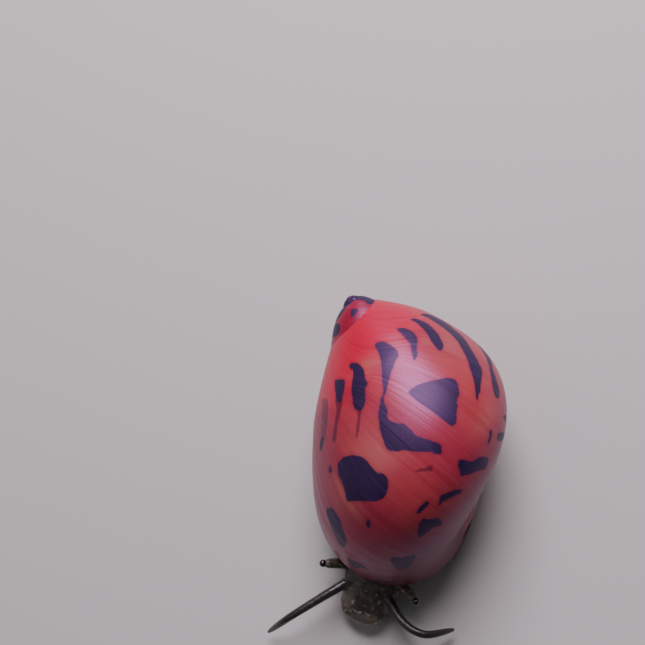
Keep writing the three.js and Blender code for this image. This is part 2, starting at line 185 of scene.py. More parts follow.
def make_mesh(name, points, faces, smooth=True, **values):
    """A mesh object from points in mm. Each of values is a number for every point, kept as an attribute."""
    mesh = bpy.data.meshes.new(name)
    points = np.asarray(points, np.float64).reshape(-1, 3) * MM
    faces = np.asarray(faces, np.int32)
    mesh.vertices.add(len(points))
    mesh.vertices.foreach_set("co", points.astype(np.float32).ravel())
    corners = faces.shape[1]
    mesh.loops.add(faces.size)
    mesh.loops.foreach_set("vertex_index", faces.ravel())
    mesh.polygons.add(len(faces))
    mesh.polygons.foreach_set("loop_start", np.arange(0, faces.size, corners, dtype=np.int32))
    mesh.update(calc_edges=True)
    for key, value in values.items():
        layer = mesh.attributes.new(key, "FLOAT", "POINT")
        layer.data.foreach_set("value", np.asarray(value, np.float32).ravel())
    if smooth:
        mesh.polygons.foreach_set("use_smooth", np.ones(len(faces), bool))
    obj = bpy.data.objects.new(name, mesh)
    bpy.context.scene.collection.objects.link(obj)
    return obj


def grid_faces(rows, columns, closed):
    """Four-cornered faces between rows of points, each row a ring where closed."""
    here = np.arange(rows - 1)[:, None] * columns
    c = np.arange(columns if closed else columns - 1)[None, :]
    n = (c + 1) % columns
    above = here + columns
    return np.stack(np.broadcast_arrays(here + c, here + n, above + n, above + c), -1).reshape(-1, 4)


# The corners of a cell of a grid.
CELL = list(np.ndindex(2, 2, 2))


class Field:
    """Signed distances in mm on a grid of points, for shapes that are softly joined."""

    def __init__(self, low, high, step):
        self.low, self.step = np.array(low, float), step
        axes = [np.arange(a, b + step, step, dtype=np.float32) for a, b in zip(low, high)]
        self.x, self.y, self.z = np.meshgrid(*axes, indexing="ij")

    def points(self):
        return np.stack([self.x, self.y, self.z], -1)

    def even(self, f):
        """Turns a function that is 1 on a surface into a distance near it."""
        gx, gy, gz = np.gradient(f, self.step)
        return (f - 1) / np.sqrt(gx * gx + gy * gy + gz * gz + 1e-6)

    def lump(self, middle, size, power=1.0):
        """An egg, the more like a box the smaller the power."""
        total = 0
        for axis, m, w in zip((self.x, self.y, self.z), middle, size):
            total = total + np.abs((axis - m) / (w / 2)) ** (2 / power)
        return self.even(total ** (power / 2))

    def tube(self, spine, radii):
        """A round tube of changing radius along a line of points."""
        spine = np.asarray(spine, float)
        result = np.full(self.x.shape, 2.0, np.float32)
        for a, b, ra, rb in zip(spine[:-1], spine[1:], radii[:-1], radii[1:]):
            pad = max(ra, rb) + 1.6
            first = np.maximum(np.floor((np.minimum(a, b) - pad - self.low) / self.step), 0).astype(int)
            last = np.maximum(np.ceil((np.maximum(a, b) + pad - self.low) / self.step), 0).astype(int)
            part = tuple(slice(i, j) for i, j in zip(first, last))
            p = np.stack([self.x[part], self.y[part], self.z[part]], -1)
            way = b - a
            t = np.clip(((p - a) @ way) / (way @ way), 0, 1)
            d = np.linalg.norm(p - a - t[..., None] * way, axis=-1) - (ra + (rb - ra) * t)
            result[part] = np.minimum(result[part], d)
        return result

    def sample(self, values, p):
        """Values between the grid's points."""
        q = (p - self.low) / self.step
        i = np.clip(np.floor(q).astype(int), 0, np.array(values.shape) - 2)
        f = q - i
        total = 0
        for corner in CELL:
            weight = np.where(corner, f, 1 - f).prod(-1)
            total = total + weight * values[tuple((i + corner).T)]
        return total

    def surface(self, d):
        """The surface where the distance is zero: points and four-cornered faces."""
        ways = np.eye(3, dtype=int)
        inside = (d < 0).astype(np.int8)
        # Each cell that the surface runs through gets a point, in the middle of where it cuts the cell's edges.
        below = sum(inside[tuple(slice(k, n + k - 1) for k, n in zip(c, d.shape))] for c in CELL)
        cells = np.stack(np.nonzero((below > 0) & (below < 8)), -1)
        index = np.full(below.shape, -1)
        index[tuple(cells.T)] = np.arange(len(cells))
        place, count = np.zeros(cells.shape), np.zeros(len(cells))
        for axis, way in enumerate(ways):
            for c in (c for c in CELL if not c[axis]):
                va, vb = d[tuple((cells + c).T)], d[tuple((cells + c + way).T)]
                cuts = (va < 0) != (vb < 0)
                share = np.where(cuts, va / np.where(cuts, va - vb, 1), 0)
                place += cuts[:, None] * (c + share[:, None] * way)
                count += cuts
        points = (cells + place / count[:, None]) * self.step + self.low
        # Each edge that it cuts gets a face between the points of the four cells around it. An edge on the
        # grid's border has fewer cells around it and is left out.
        faces = []
        for axis, way in enumerate(ways):
            change = np.diff(inside, axis=axis)
            edge = np.stack(np.nonzero(change), -1)
            edge = edge[np.all((edge > 0) & (edge < np.array(d.shape) - 1) | (way > 0), -1)]
            b, c = ways[(axis + 1) % 3], ways[(axis + 2) % 3]
            quad = np.stack([index[tuple((edge - k).T)] for k in (b + c, c, 0 * c, b)], -1)
            flip = change[tuple(edge.T)] > 0
            quad[flip] = quad[flip][:, ::-1]
            faces.append(quad)
        # The points are then moved down the slope of the distance, onto the surface.
        gradient = np.stack(np.gradient(d, self.step), -1)
        for _ in range(4):
            near = np.stack([self.sample(gradient[..., k], points) for k in range(3)], -1)
            length = np.maximum(np.linalg.norm(near, axis=-1, keepdims=True), 0.3)
            points = points - np.clip(self.sample(d, points), -0.05, 0.05)[:, None] * near / length ** 2
        return points, np.concatenate(faces)


def join(a, b, soft):
    """Both shapes, with a soft join."""
    h = np.clip(0.5 + 0.5 * (b - a) / soft, 0, 1)
    return b * (1 - h) + a * h - soft * h * (1 - h)


def cut(a, b, soft):
    """The part of a that is also in b, with a rounded edge."""
    return -join(-a, -b, soft)


def between(a, b, c, d, t):
    """Places on a smooth curve through four points, between the second and the third."""
    return b + 0.5 * t * ((c - a) + t * ((2 * a - 5 * b + 4 * c - d) + t * (3 * (b - c) + d - a)))


def curve_through(points, steps):
    """Evenly spaced points of a smooth open curve through a few points."""
    p = np.asarray(points, float)
    p = np.concatenate([[2 * p[0] - p[1]], p, [2 * p[-1] - p[-2]]])
    fine = []
    for i in range(1, len(p) - 2):
        a, b, c, d = p[i - 1:i + 3]
        t = np.linspace(0, 1, 24, endpoint=False)[:, None]
        fine.append(between(a, b, c, d, t))
    fine = np.concatenate(fine + [p[-2:-1]])
    length = np.concatenate([[0], np.cumsum(np.linalg.norm(np.diff(fine, axis=0), axis=1))])
    even = np.linspace(0, length[-1], steps)
    return np.stack([np.interp(even, length, fine[:, k]) for k in range(3)], -1)


def outline_distance(field_x, field_y, outline, step=0.08, margin=2.5):
    """Signed distance on a plane to a closed outline, read from a table for speed."""
    low, high = outline.min(0) - margin, outline.max(0) + margin
    gx, gy = np.arange(low[0], high[0], step), np.arange(low[1], high[1], step)
    mx, my = np.meshgrid(gx, gy, indexing="ij")
    table = inside_distance(np.stack([mx.ravel(), my.ravel()], -1), outline).reshape(mx.shape)
    qx = np.clip((field_x - low[0]) / step, 0, len(gx) - 1.001)
    qy = np.clip((field_y - low[1]) / step, 0, len(gy) - 1.001)
    ix, iy = qx.astype(int), qy.astype(int)
    fx, fy = qx - ix, qy - iy
    near = table[ix, iy] * (1 - fx) * (1 - fy) + table[ix + 1, iy] * fx * (1 - fy)
    return near + table[ix, iy + 1] * (1 - fx) * fy + table[ix + 1, iy + 1] * fx * fy


# ---- materials ----


class Nodes:
    """A small helper for building a material's node tree."""

    def __init__(self, name):
        self.mat = bpy.data.materials.new(name)
        self.mat.use_nodes = True
        self.tree = self.mat.node_tree
        self.shader = self.tree.nodes["Principled BSDF"]

    def add(self, kind, **settings):
        node = self.tree.nodes.new(kind)
        for key, value in settings.items():
            setattr(node, key, value)
        return node

    def put(self, node, inputs):
        for key, value in inputs.items():
            if isinstance(value, bpy.types.NodeSocket):
                self.tree.links.new(value, node.inputs[key])
            else:
                node.inputs[key].default_value = value

    def number(self, name):
        return self.add("ShaderNodeAttribute", attribute_name=name).outputs["Fac"]

    def place(self):
        return self.add("ShaderNodeNewGeometry").outputs["Position"]

    def math(self, operation, a, b=0.0, c=0.0):
        node = self.add("ShaderNodeMath", operation=operation)
        self.put(node, {0: a, 1: b, 2: c})
        return node.outputs[0]

    def vector(self, x, y, z):
        node = self.add("ShaderNodeCombineXYZ")
        self.put(node, {0: x, 1: y, 2: z})
        return node.outputs[0]

    def noise(self, place, scale, detail, rough):
        node = self.add("ShaderNodeTexNoise", noise_dimensions="3D")
        self.put(node, {"Vector": place, "Scale": scale, "Detail": detail, "Roughness": rough})
        return node.outputs["Fac"]

    def smooth(self, value, low, high, to_low=0.0, to_high=1.0):
        node = self.add("ShaderNodeMapRange", interpolation_type="SMOOTHSTEP")
        self.put(node, {"Value": value, "From Min": low, "From Max": high, "To Min": to_low, "To Max": to_high})
        return node.outputs["Result"]

    def mix(self, share, a, b):
        node = self.add("ShaderNodeMix", data_type="RGBA")
        self.put(node, {0: share, 6: a, 7: b})
        return node.outputs[2]

    def bump(self, height, distance, strength):
        node = self.add("ShaderNodeBump")
        self.put(node, {"Height": height, "Distance": distance * MM, "Strength": strength})
        return node.outputs[0]

    def finish(self, **inputs):
        self.put(self.shader, {key.replace("_", " "): value for key, value in inputs.items()})
        return self.mat


def rgb(r, g, b):
    """A colour given as it looks on a screen, 0 to 255, as the shader's linear numbers."""
    line = [v / 255 for v in (r, g, b)]
    return tuple(v / 12.92 if v <= 0.04045 else ((v + 0.055) / 1.055) ** 2.4 for v in line) + (1.0,)


# The shell's colours, as they look on a screen.
PAINT = dict(
    red=(158, 46, 62), warm_red=(172, 62, 64), top=(196, 0, 46), streak=(140, 20, 36), thread=(208, 84, 80),
    # lip and low are painted shade: darker towards the lip and towards the foot end.
    old=(140, 8, 40), lip=(112, 24, 48), pale=(176, 100, 88), low=(84, 24, 34), faint=(76, 22, 42),
    dark=(20, 10, 38), dark_thread=(36, 20, 66), halo=(128, 20, 42), inside=(226, 190, 160),
)


def shell_material():
    n = Nodes("shell")
    paint = {name: rgb(*colour) for name, colour in PAINT.items()}
    along, around, mark = n.number("along"), n.number("around"), n.number("mark")

    def streaks(per_along, per_around, layer, detail, rough):
        """Noise drawn out along the growth lines."""
        place = n.vector(n.math("MULTIPLY", along, per_along), n.math("MULTIPLY", around, per_around), layer)
        return n.noise(place, 1.0, detail, rough)

    fine = streaks(7.0, 0.25, 0.0, 3.0, 0.6)
    broad = streaks(1.3, 0.07, 4.0, 2.0, 0.55)
    cloud = streaks(0.22, 0.22, 9.0, 2.0, 0.5)
    teeth = streaks(5.0, 0.5, 2.0, 3.0, 0.65)

    base = n.mix(n.smooth(cloud, 0.35, 0.65), paint["red"], paint["warm_red"])
    base = n.mix(n.smooth(n.number("height"), 0.35, 1.0), base, paint["top"])
    base = n.mix(n.smooth(broad, 0.45, 0.75, 0.0, 0.35), base, paint["streak"])
    base = n.mix(n.smooth(fine, 0.45, 0.8, 0.0, 0.22), base, paint["thread"])
    base = n.mix(n.math("MULTIPLY", n.number("old"), 0.85), base, paint["old"])
    # Painted shade: darker towards the lip, standing for the shade on that side of the shell.
    base = n.mix(n.smooth(along, -13.0, -8.0, 0.0, 0.45), base, paint["lip"])
    patch = n.math("MULTIPLY", n.number("pale"), n.smooth(broad, 0.3, 0.7, 0.75, 0.25))
    base = n.mix(patch, base, paint["pale"])
    # Painted shade: darker towards the foot end, standing for the shade on the shell's underside.
    base = n.mix(n.math("MULTIPLY", n.number("low"), 0.75), base, paint["low"])
    base = n.mix(n.smooth(n.number("faint"), 0.11, -0.07, 0.0, 0.75), base, paint["faint"])

    # The marks' edges are frayed a little along the growth lines, and a darker red lies around them.
    edge = n.math("MULTIPLY_ADD", n.math("SUBTRACT", teeth, 0.5), 0.22, mark)
    inside = n.smooth(edge, 0.06, -0.06)
    dark = n.mix(n.smooth(fine, 0.35, 0.7), paint["dark"], paint["dark_thread"])
    colour = n.mix(n.smooth(edge, 0.4, 0.0, 0.0, 0.25), base, paint["halo"])
    colour = n.mix(inside, colour, dark)
    colour = n.mix(n.number("inside"), colour, paint["inside"])

    normal = n.bump(n.math("ADD", n.math("MULTIPLY", fine, 0.5), broad), 0.05, 0.5)
    rough = n.math("ADD", n.smooth(fine, 0.2, 0.8, 0.34, 0.42), n.math("MULTIPLY", inside, 0.12))
    return n.finish(
        Base_Color=colour, Roughness=rough, Normal=normal, Coat_Weight=0.06, Coat_Roughness=0.3, Coat_IOR=1.4,
        Specular_IOR_Level=0.74, Specular_Tint=(0.95, 0.5, 1.0, 1.0),
    )


# ---- the shell ----

# Dark markings. Each is a short outline: degrees of turn back from the mouth, from 360 on on the coils before
# the newest one, and degrees around the coil from its foot end to the side of the tip.
MARKS = dict(
    left_streak=[(52, 105.5), (54.5, 104), (51.5, 101), (48, 98.5), (46, 100), (48.5, 103)],
    left_drop=[
        (78.5, 136.5), (81.5, 136), (87, 134), (90.5, 131), (89.5, 127), (87, 122.5), (84.5, 119),
        (81.5, 116.5), (79, 117), (79, 120.5), (79.5, 127), (79, 132),
    ],
    hook=[
        (97, 138.5), (98.5, 139.5), (101.5, 138.5), (105.5, 136), (107.5, 133), (108.5, 129.5), (108, 125.5),
        (106.5, 121.5), (104.5, 116), (103, 114.5), (99.5, 112.5), (94.5, 107), (91.5, 104.5), (89, 103.5),
        (87, 103.5), (86, 105), (85.5, 107), (87.5, 110.5), (91.5, 116.5), (96.5, 125.5), (99, 130),
        (100, 133.5), (98, 135.5),
    ],
    ell=[
        (126.5, 138), (129, 139), (131.5, 138), (134.5, 136), (136.5, 133), (137, 129), (137, 124),
        (135.5, 119), (132, 115.5), (128.5, 114.5), (126.5, 114), (122.5, 112), (118, 110), (114.5, 108),
        (111, 106), (108, 104), (106, 102.5), (103, 101), (101, 99.5), (99.5, 97), (99, 95), (97, 92.5),
        (95, 90.5), (94.5, 89), (96, 85.5), (98, 82), (98, 79.5), (98, 77), (97.5, 75), (97.5, 72.5),
        (98.5, 70.5), (99.5, 67.5), (100, 65.5), (100.5, 63.5), (101.5, 61.5), (101.5, 59), (100.5, 57),
        (99, 55.5), (97.5, 56.5), (96.5, 58), (96.5, 60), (94.5, 63), (91.5, 67), (89, 71), (86.5, 73),
        (84.5, 76), (84, 77.5), (84.5, 80), (85.5, 82.5), (87, 86), (88.5, 89), (90.5, 91.5), (92.5, 94.5),
        (94.5, 96.5), (97, 98.5), (99, 100), (101, 101.5), (103.5, 103), (105.5, 104.5), (107.5, 106.5),
        (110, 109.5), (113.5, 113), (118, 117), (122, 122.5), (123.5, 126), (125, 130), (126, 134),
    ],
    flame_1=[
        (153.5, 135.5), (156.5, 134.5), (159, 131.5), (159.5, 128.5), (159, 123.5), (156, 117.5),
        (152, 114.5), (148, 112.5), (143.5, 110.5), (138.5, 107), (136, 106), (132.5, 105.5), (135, 108),
        (138.5, 111), (142.5, 114), (146.5, 117.5), (149.5, 124.5), (151.5, 130), (152.5, 133.5),
    ],
    flame_2=[
        (174.5, 132), (178, 129.5), (178, 124.5), (176.5, 118), (173, 113), (168.5, 109), (164, 104.5),
        (159.5, 101.5), (155.5, 98.5), (151.5, 97), (148.5, 97), (148, 98.5), (150.5, 102), (154, 106),
        (159.5, 110.5), (164.5, 115), (169, 120.5), (172.5, 127.5), (173, 131),
    ],
    flame_3=[
        (190, 126.5), (195.5, 121), (198, 113.5), (195.5, 108), (193, 103), (188, 98.5), (181.5, 94),
        (176.5, 89.5), (170.5, 85.5), (164.5, 82), (160, 78), (155, 73.5), (152, 70), (147.5, 67.5),
        (141.5, 65.5), (137, 63), (133, 62), (130, 60.5), (131.5, 63), (134.5, 66), (137.5, 68.5), (141, 72),
        (145, 76), (150, 80), (154.5, 83.5), (160, 88), (165, 91.5), (170.5, 97), (175, 102), (179.5, 108),
        (184.5, 114), (187.5, 120.5),
    ],
    flame_4=[
        (182, 77), (181, 75), (182, 69.5), (176, 67.5), (173.5, 63.5), (167, 61.5), (160, 60), (155, 56),
        (151, 51.5), (147.5, 48), (144, 46.5), (142, 48), (142, 51.5), (144.5, 55), (148.5, 58.5), (154, 62),
        (160.5, 65), (166, 67.5), (170.5, 70.5), (177.5, 73.5),
    ],
    tent=[
        (112.5, 94), (115, 94), (118, 93.5), (120.5, 92.5), (124, 90.5), (126.5, 88.5), (130, 86),
        (132, 83.5), (133, 81.5), (133, 79.5), (131.5, 77), (129, 74), (126.5, 72), (123.5, 71), (120.5, 68),
        (117.5, 65.5), (115, 63), (113, 62), (111.5, 62.5), (111, 64.5), (111, 67.5), (111, 71), (111, 76),
        (111, 80.5), (111, 85), (111.5, 89), (112, 92),
    ],
    bit_1=[(123.5, 40), (124.5, 37.5), (122, 35), (120, 33.5), (118, 33.5), (118, 35), (121, 37)],
    bit_2=[(127.5, 30.5), (131.5, 25.5), (135, 19.5), (133, 16), (128, 20), (125, 27)],
    bit_3=[(139.5, 33.5), (144.5, 27), (143, 24), (140, 26.5), (138, 31.5)],
    blob=[
        (58, 87.5), (60, 88), (63.5, 88), (67, 87), (70, 85), (72, 82.5), (73, 79.5), (73, 76.5), (73, 73.5),
        (73.5, 70.5), (75, 68), (75, 65.5), (74, 62.5), (72, 60), (69.5, 58), (67, 57.5), (64, 58.5),
        (60, 62), (55.5, 65.5), (52, 67.5), (52.5, 70), (54, 73.5), (55, 78), (55, 82), (56.5, 85.5),
    ],
    dot_1=[(50.5, 88.5), (52, 89), (52.5, 87.5), (51.5, 85.5), (50, 85.5), (49, 86.5)],
    bar=[
        (101.5, 44), (103, 43), (104, 40), (105, 37), (106.5, 35), (109, 34), (111, 31.5), (113, 27),
        (113, 23), (111, 21.5), (108.5, 20.5), (106.5, 22.5), (103.5, 27), (100.5, 30), (98.5, 32.5),
        (97, 34.5), (98, 37.5), (99.5, 41.5),
    ],
    tick_1=[
        (81, 31.5), (82.5, 33.5), (84, 35), (86.5, 34), (88.5, 32.5), (91, 30), (92.5, 27), (92, 25),
        (90, 25.5), (87.5, 27.5), (85, 29.5), (82, 30.5), (81, 30),
    ],
    tick_2=[
        (72.5, 38), (74, 39), (76, 39.5), (78, 39.5), (79.5, 38.5), (79, 37), (77, 36), (75, 36), (73, 36),
        (72, 37),
    ],
    wedge=[
        (62.5, 24), (64.5, 27), (66.5, 29), (69, 31), (71.5, 31.5), (72, 29), (73.5, 26.5), (75, 24),
        (74.5, 19.5), (73, 16.5), (71, 17), (70, 20), (67, 20.5), (64, 21), (62, 21.5),
    ],
    dot_2=[(53.5, 52.5), (55, 53), (55, 51.5), (53, 49), (51.5, 48.5), (51.5, 50)],
    low_streak=[
        (35, 70), (37.5, 70.5), (41, 68.5), (41, 65.5), (41, 61), (39, 56), (37, 51.5), (34, 48.5),
        (29.5, 47), (28, 49.5), (29, 53.5), (30, 58.5), (32, 63.5), (33, 67.5),
    ],
    low_bar=[
        (41, 22.5), (44, 24), (44.5, 21.5), (46, 18), (48.5, 15.5), (50, 13), (47, 9.5), (42, 7.5), (37, 7),
        (33.5, 9.5), (34.5, 14), (38.5, 19),
    ],
    spire_edge=[
        (408, 136), (419, 134), (429, 137), (443, 140.5), (448, 144), (460, 148), (466, 155), (495, 158),
        (515, 162), (515, 182), (470, 182), (425, 182), (410, 168),
    ],
    spire_top=[
        (512, 172), (522, 151), (531, 138), (532, 132), (525, 126), (525, 119), (540, 110), (620, 108),
        (740, 70), (1100, -120), (1100, 380), (740, 200), (620, 190), (540, 186),
    ],
    spire_wedge=[
        (482, 138), (492.5, 134), (495.5, 127), (484.5, 124), (473, 122.5), (467.5, 122.5), (474.5, 130.5),
    ],
    # Partly a dark mark on the spire, partly painted shadow along the spire's left edge.
    spire_drop_and_shadow=[
        (394, 129.5), (405, 131), (416, 131.5), (427, 130.5), (434, 127.5), (436, 122), (430, 115.5),
        (418, 111.5), (404, 113), (393, 117), (388, 124),
    ],
)
# Faint shades, in the same way.
FAINT_MARKS = dict(
    dash=[
        (85.5, 58), (87.5, 57.5), (89.5, 55.5), (92, 54.5), (91.5, 52.5), (90.5, 51.5), (88.5, 54.5),
        (86.5, 56.5),
    ],
    faint_left=[
        (60.5, 130), (68.5, 128), (69, 121), (64.5, 113), (59, 107), (53.5, 102), (49, 101.5), (50.5, 105),
        (55.5, 112), (60, 121),
    ],
    faint_drop=[
        (79.5, 123.5), (83.5, 118.5), (81, 114.5), (77.5, 111.5), (74.5, 109), (71, 106.5), (67, 102),
        (63, 98), (61, 99), (65, 104), (71, 109.5), (75.5, 114.5),
    ],
    faint_hook=[
        (87, 106.5), (88.5, 104), (83.5, 99), (79.5, 95), (76.5, 92.5), (76, 93), (80.5, 98), (84.5, 102),
    ],
)
# Rough millimetres on the newest coil for each radian of turn and around.
PER_TURN = 9.0
PER_AROUND = 7.2
# The distance in mm that stands for "far from any mark", and how far around a mark it is measured.
FAR = 3.0
NEAR = 1.5


def flat(turn, around):
    """Degrees on the coil as rough millimetres on its surface."""
    return np.stack([np.radians(turn) * PER_TURN, np.radians(around) * PER_AROUND], -1)


def rounded(outline, per_side=3):
    """A closed smooth curve through a few points."""
    t = np.linspace(0, 1, per_side, endpoint=False)[:, None]
    a, b, c, d = (np.roll(outline, k, 0)[:, None] for k in (1, 0, -1, -2))
    return between(a, b, c, d, t).reshape(-1, 2)


def inside_distance(points, outline):
    """Signed distance from points to a closed outline, negative inside."""
    a, b = outline, np.roll(outline, -1, 0)
    best = np.full(len(points), 1e9)
    odd = np.zeros(len(points), bool)
    for (ax, ay), (bx, by) in zip(a, b):
        dx, dy = bx - ax, by - ay
        px, py = points[:, 0] - ax, points[:, 1] - ay
        t = np.clip((px * dx + py * dy) / max(dx * dx + dy * dy, 1e-12), 0, 1)
        best = np.minimum(best, np.hypot(px - t * dx, py - t * dy))
        if ay != by:
            odd ^= ((ay > points[:, 1]) != (by > points[:, 1])) & (px < py * dx / dy)
    return np.where(odd, -best, best)


# Markings on the sides that the photo doesn't show, made like those it shows: the name of the one that is
# repeated, and the degrees of turn and around of its new middle.
REPEATS = [
    ("flame_2", 226, 112), ("flame_1", 251, 116), ("flame_2", 276, 110), ("hook", 300, 118),
    ("flame_1", 322, 112),
    ("left_drop", 344, 120), ("flame_3", 232, 76), ("tent", 268, 78), ("flame_3", 302, 74), ("blob", 336, 72),
    ("tick_1", 176, 24), ("bar", 205, 34), ("wedge", 236, 30), ("tick_2", 262, 38), ("bar", 290, 30),
    ("tick_1", 322, 36),
    ("hook", 30, 124), ("flame_1", 8, 118), ("tick_1", 16, 84), ("wedge", 22, 34), ("tick_2", 6, 56),
    ("bar", 8, 16),
    ("low_bar", 192, 6), ("wedge", 262, 8), ("flame_1", 250, 150), ("hook", 285, 152),
    ("tick_2", 46, -22), ("tick_1", 90, -20), ("wedge", 132, -24), ("tick_2", 172, -30), ("bar", 216, -26),
    ("wedge", 270, -24),
]


def repeats():
    """The outlines of the repeated markings, each a little smaller than the first."""
    for name, turn, around in REPEATS:
        outline = np.array(MARKS[name], float)
        middle = (outline.min(0) + outline.max(0)) / 2
        size = rng.uniform(0.75, 1.0, 2)
        yield (outline - middle) * size + (turn, around)


# Paler, tan patches: degrees of turn and around of the middle, size in mm along the turn and around.
PALE = [
    (113, 128, 2.2, 1.0), (134, 127, 1.8, 0.9), (155, 101, 1.4, 1.8), (80, 79, 2.4, 1.6), (52, 70, 1.0, 1.8),
    (126, 48, 1.4, 0.9),
    (205, 95, 2.0, 1.5), (245, 60, 2.4, 1.6), (290, 95, 2.0, 1.2), (20, 104, 1.6, 1.4), (330, 50, 2.2, 1.4),
]


def pale_patches(turn_deg, around_deg):
    """How pale a place is, 0 to 1."""
    patches = (flat(turn_deg - turn, around_deg - around) / (long, wide) for turn, around, long, wide in PALE)
    return np.max([np.exp(-(away * away).sum(-1)) for away in patches], 0)


def marking(turn_deg, around_deg, outlines):
    """Signed distance in mm to the nearest dark marking."""
    around_deg = np.where(around_deg > 300, around_deg - 360, around_deg)
    spots = flat(turn_deg, around_deg).reshape(-1, 2)
    result = np.full(len(spots), FAR)
    for outline in outlines:
        curve = rounded(flat(*np.array(outline, float).T))
        low, high = curve.min(0) - NEAR, curve.max(0) + NEAR
        near = np.all((spots > low) & (spots < high), -1)
        result[near] = np.minimum(result[near], inside_distance(spots[near], curve))
    return result


# Near the suture the growth lines lean back: from which degree around, how softly, how much, and where it ends.
LEAN = dict(start=120, soft=10, share=0.7, end=200)


def growth_line(turn_deg, around_deg):
    """The degree of turn where the growth line through a place starts."""
    past = around_deg - LEAN["start"]
    leant = LEAN["share"] * (past + np.sqrt(past * past + LEAN["soft"] ** 2))
    return turn_deg + leant * (around_deg < LEAN["end"])


# The growth ridges: degrees of turn from one to the next, and height in mm.
RIDGE_STEPS = ((5.0, 0.020), (1.9, 0.012))


def growth_ridges(line):
    """Low ridges in mm along the growth lines, from seeded heights between even steps of degrees."""
    total = 0 * line
    for step, height in RIDGE_STEPS:
        knots = rng.uniform(-1, 1, int(COIL["turns"] * 400 / step))
        place = np.clip(line / step, 0, len(knots) - 2)
        i = place.astype(int)
        u = place - i
        u = u * u * (3 - 2 * u)
        total = total + height * (knots[i] * (1 - u) + knots[i + 1] * u)
    return total


# The lip's thickness in mm and how far it is rounded, in radians of turn; where its lining starts and ends, in
# the same way, and how much thicker it gets.
LIP = dict(thick=0.44, roll=0.02, first=0.03, last=0.9, thicker=0.3)
# The shell's mesh: the degrees of turn of the finely made part, the steps in it and in the older part, the
# points around, and the rows that round the lip and line the mouth.
NEWEST = 400
STEPS = dict(newest=0.8, oldest=2.0, around=288, roll=12, inner=24)


def settle(p, start=0.6):
    """Bends what would reach past the plane of the mouth onto it, from a small height on."""
    z = p[..., 2]
    p[..., 2] = np.where(z < start, start * np.exp((z - start) / start), z)
    return p


def blunt_tip(ring, later, rows, bulge=0.7):
    """Rows of a small dome that closes the start of the coil."""
    middle, way = ring.mean(0), unit(ring.mean(0) - later.mean(0))
    reach = np.linalg.norm(ring - middle, axis=-1).mean()
    angles = np.linspace(np.pi / 2, 0, rows + 1)[:-1, None, None]
    return middle + np.cos(angles) * (ring - middle) + np.sin(angles) * reach * bulge * way


def build_shell():
    newest = np.radians(np.arange(-NEWEST, -1.5, STEPS["newest"]))
    oldest = np.radians(np.arange(-COIL["turns"] * 360, -NEWEST, STEPS["oldest"]))
    roll = np.linspace(0, np.pi, STEPS["roll"])
    inner = -np.linspace(LIP["first"], LIP["last"], STEPS["inner"])
    turn = np.concatenate([oldest, newest, -LIP["roll"] * (1 - np.sin(roll)), inner])
    rolled = LIP["thick"] / 2 * (1 - np.cos(roll))
    lining = np.linspace(LIP["thick"], LIP["thick"] + LIP["thicker"], STEPS["inner"])
    shrink = np.concatenate([0 * oldest, 0 * newest, rolled, lining])
    around = np.linspace(0, 2 * np.pi, STEPS["around"], endpoint=False)
    t, a = np.meshgrid(turn, around, indexing="ij")
    turn_deg, around_deg = -np.degrees(t), np.degrees(a)
    size = np.exp(COIL["growth"] * t)
    # Ridges on the outside only, fading towards the lip and the foot end.
    outside = smooth_step(turn_deg, 1.5, 5) * size * smooth_step(around_deg, 0, 14) * (around_deg < 180)
    line = growth_line(turn_deg, around_deg)
    ridges = growth_ridges(line) * outside
    p = settle(shell_points(t, a, shrink[:, None] - ridges))
    p[:6] = blunt_tip(p[6], p[9], 6)
    outer = shrink[:, None] <= 0.1
    dark = marking(turn_deg, around_deg, [*MARKS.values(), *repeats()]).reshape(t.shape)
    faint = marking(turn_deg, around_deg, FAINT_MARKS.values()).reshape(t.shape)
    values = dict(
        along=-np.radians(line) * PER_TURN,
        around=a * PER_AROUND * size,
        mark=np.where(outer, dark, FAR),
        faint=np.where(outer, faint, FAR),
        # 0 to 1: towards the suture, towards the foot end (for painted shade), pale, on the older coils, inside
        #         the lip.
        height=np.clip((around_deg - 60) / 90, 0, 1) * (around_deg < 220),
        low=np.clip((44 - np.where(around_deg > 260, around_deg - 360, around_deg)) / 40, 0, 1),
        pale=pale_patches(turn_deg, around_deg),
        old=np.broadcast_to(smooth_step(turn_deg, 340, 430), t.shape),
        inside=np.broadcast_to(np.clip((shrink[:, None] - 0.15) / 0.2, 0, 1), t.shape),
    )
    return make_mesh("shell_skin", place_shell(p), grid_faces(len(turn), len(around), True)[:, ::-1], **values)


def ball(middle, radius, ring, rows):
    """Points and faces of a ball."""
    v, u = np.meshgrid(
        np.linspace(0, np.pi, rows), np.linspace(0, 2 * np.pi, ring, endpoint=False), indexing="ij")
    p = np.stack([np.sin(v) * np.cos(u), np.sin(v) * np.sin(u), np.cos(v)], -1) * radius + middle
    return p, grid_faces(rows, ring, True)[:, ::-1]


# The tip's ball: its radius and how far its middle lies under the coil's start, in mm.
TIP = dict(radius=0.5, sink=0.76)


def build_tip():
    """The blunt first turn of the shell, which closes the tip."""
    tip = place_shell(-MOUTH_MIDDLE @ TO_SHELL.T)
    heart = place_shell(shell_points(-2.5, np.linspace(0, 2 * np.pi, 12))).mean(0)
    p, faces = ball(tip - unit(tip - heart) * TIP["sink"], TIP["radius"], 48, 33)
    none = np.zeros(p.shape[:2])
    return make_mesh(
        "tip_skin", p, faces, along=p[..., 0], around=p[..., 2], mark=none - 1, faint=none + FAR,
        height=none + 1, low=none, pale=none, old=none + 1, inside=none,
    )


def set_in_place(obj, material, slot, *nodes):
    """Gives a piece its material and sets it in the place of these nodes."""
    obj.data.materials.append(material)
    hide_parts(*nodes)
    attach(obj, "root")


